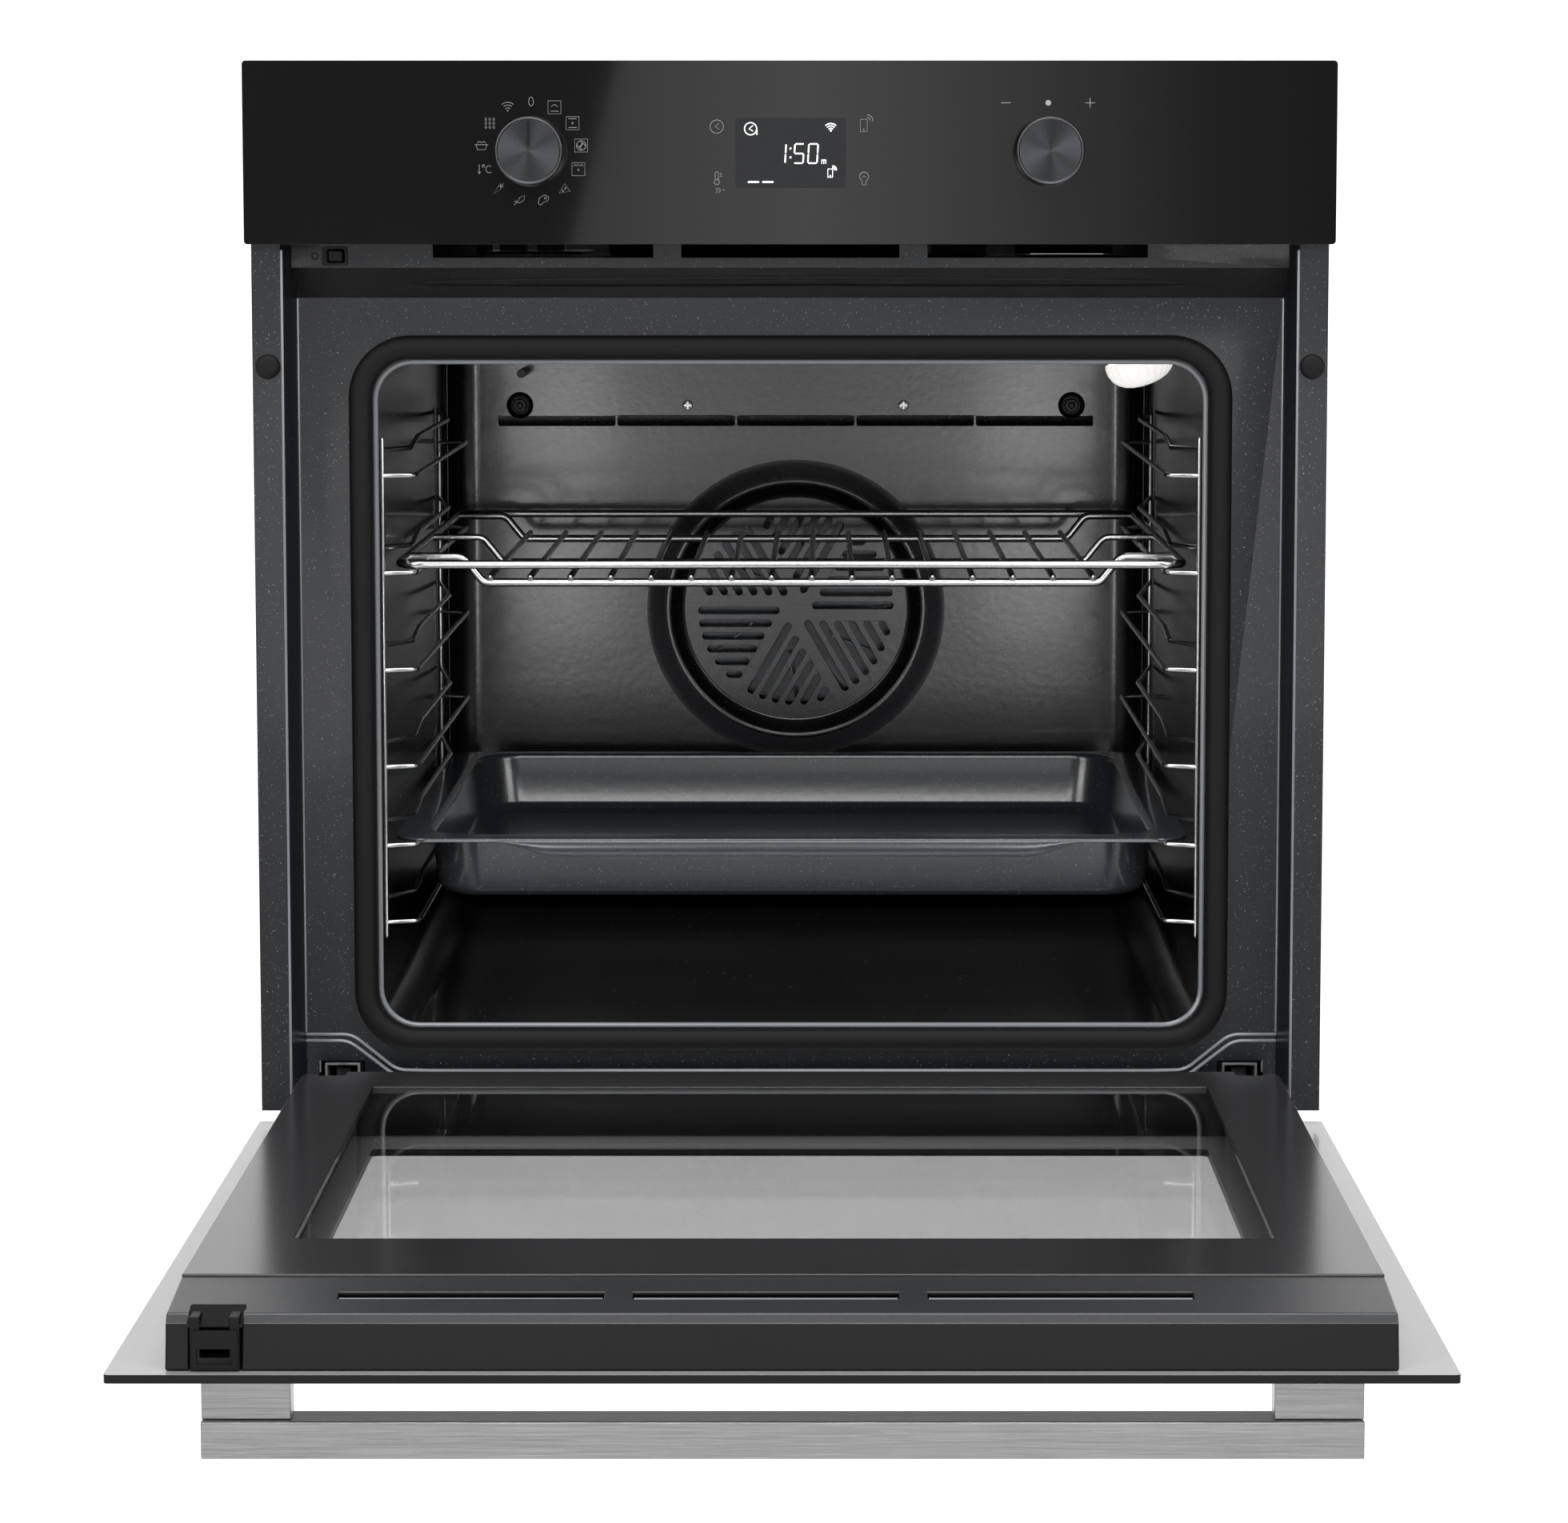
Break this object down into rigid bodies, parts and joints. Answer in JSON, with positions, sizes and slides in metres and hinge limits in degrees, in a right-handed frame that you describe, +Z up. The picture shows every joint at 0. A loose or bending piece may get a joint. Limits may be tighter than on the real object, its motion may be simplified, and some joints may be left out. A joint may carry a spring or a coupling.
{
  "type": "wall oven",
  "caption": "Built-in electric oven with a fold-down glass door, control panel with knobs and clock, wire shelf, baking tray and round fan cover.",
  "frame": {"origin": "middle of the casing's underside, on the plane that rests on the cabinet shelf", "axes": "+X to the right seen from the front, +Y towards the back of the cabinet, +Z up; the door faces -Y"},
  "size_m": [0.595, 1.0313, 0.6352],
  "materials": {
    "enamel": "glossy dark grey vitreous enamel",
    "black_glass": "gloss black printed glass",
    "clear_glass": "clear",
    "zinc": "galvanised sheet",
    "steel": "brushed along its length",
    "chrome": "bright wire",
    "rubber": "matt",
    "dark_metal": "dark spun metal",
    "black_plastic": "fine matt",
    "grey_plastic": "matt",
    "board": "lacquered board",
    "wool": "mineral wool",
    "aluminium": "pressed sheet",
    "lamp_white": "frosted"
  },
  "bodies": {
    "oven": {"base_plate": "zinc", "side_panel_left": "zinc", "side_panel_right": "zinc", "rear_cover": "zinc", "top_cover": "zinc", "front_frame": "enamel", "frame_bumper_left": "rubber", "frame_bumper_right": "rubber", "cavity_liner": "enamel", "back_baffle": "enamel", "baffle_screw_left": "chrome", "baffle_screw_right": "chrome", "door_seal": "rubber", "lamp_glass": "lamp_white", "lamp_holder": "zinc", "grill_heater": "dark_metal", "ring_heater": "dark_metal", "lower_heater": "dark_metal", "temperature_probe": "steel", "fan_motor": "zinc", "blower_motor": "dark_metal", "cooling_duct": "zinc", "compartment_floor": "zinc", "insulation_blanket": "wool", "control_panel_glass": "black_glass", "panel_carrier": "black_plastic", "display_module": "black_plastic", "touch_board": "board", "program_switch": "grey_plastic", "setting_switch": "grey_plastic", "power_board": "board", "terminal_block": "grey_plastic", "latch_housing": "black_plastic", "hinge_receiver_left": "zinc", "hinge_receiver_right": "zinc", "hinge_arm_left": "dark_metal", "hinge_arm_right": "dark_metal", "side_rack_left": "chrome", "side_rack_right": "chrome"},
    "door": {"door_outer_glass": "black_glass", "door_middle_glass": "clear_glass", "door_inner_glass": "black_glass", "door_rail_left": "black_plastic", "door_rail_right": "black_plastic", "door_lower_bar": "black_plastic", "door_upper_bar": "black_plastic", "door_top_trim": "black_plastic", "door_latch_strike": "black_plastic", "handle_bar": "steel", "handle_post_left": "steel", "handle_post_right": "steel", "hinge_housing_left": "zinc", "hinge_housing_right": "zinc"},
    "shelf": {"wire_shelf": "chrome"},
    "tray": {"baking_tray": "enamel"},
    "program_dial": {"program_knob": "dark_metal"},
    "setting_dial": {"setting_knob": "dark_metal"},
    "fan": {"convection_fan": "aluminium"},
    "blower": {"cooling_blower": "zinc"},
    "latch": {"latch_tongue": "black_plastic"}
  },
  "joints": [
    {"name": "door_hinge", "type": "hinge", "parent": "oven", "child": "door", "pos_m": [0, -0.2785, -0.0022], "axis": [1, 0, 0], "range_deg": [-90, 0]},
    {"name": "shelf_slide", "type": "slide", "parent": "oven", "child": "shelf", "axis": [0, -1, 0], "range_m": [0, 0.36]},
    {"name": "tray_slide", "type": "slide", "parent": "oven", "child": "tray", "axis": [0, -1, 0], "range_m": [0, 0.34]},
    {"name": "program_turn", "type": "hinge", "parent": "oven", "child": "program_dial", "pos_m": [-0.1406, -0.2885, 0.532], "axis": [0, 1, 0], "continuous": true},
    {"name": "setting_turn", "type": "hinge", "parent": "oven", "child": "setting_dial", "pos_m": [0.1406, -0.2885, 0.532], "axis": [0, 1, 0], "range_deg": [-30, 30], "stiffness_Nm_per_rad": 0.05},
    {"name": "fan_spin", "type": "hinge", "parent": "oven", "child": "fan", "pos_m": [0, 0.2, 0.235], "axis": [0, 1, 0], "continuous": true},
    {"name": "blower_spin", "type": "hinge", "parent": "oven", "child": "blower", "pos_m": [-0.02, 0.11, 0.5078], "axis": [1, 0, 0], "continuous": true},
    {"name": "latch_press", "type": "slide", "parent": "oven", "child": "latch", "axis": [0, 1, 0], "range_m": [0, 0.003], "stiffness_N_per_m": 400}
  ]
}
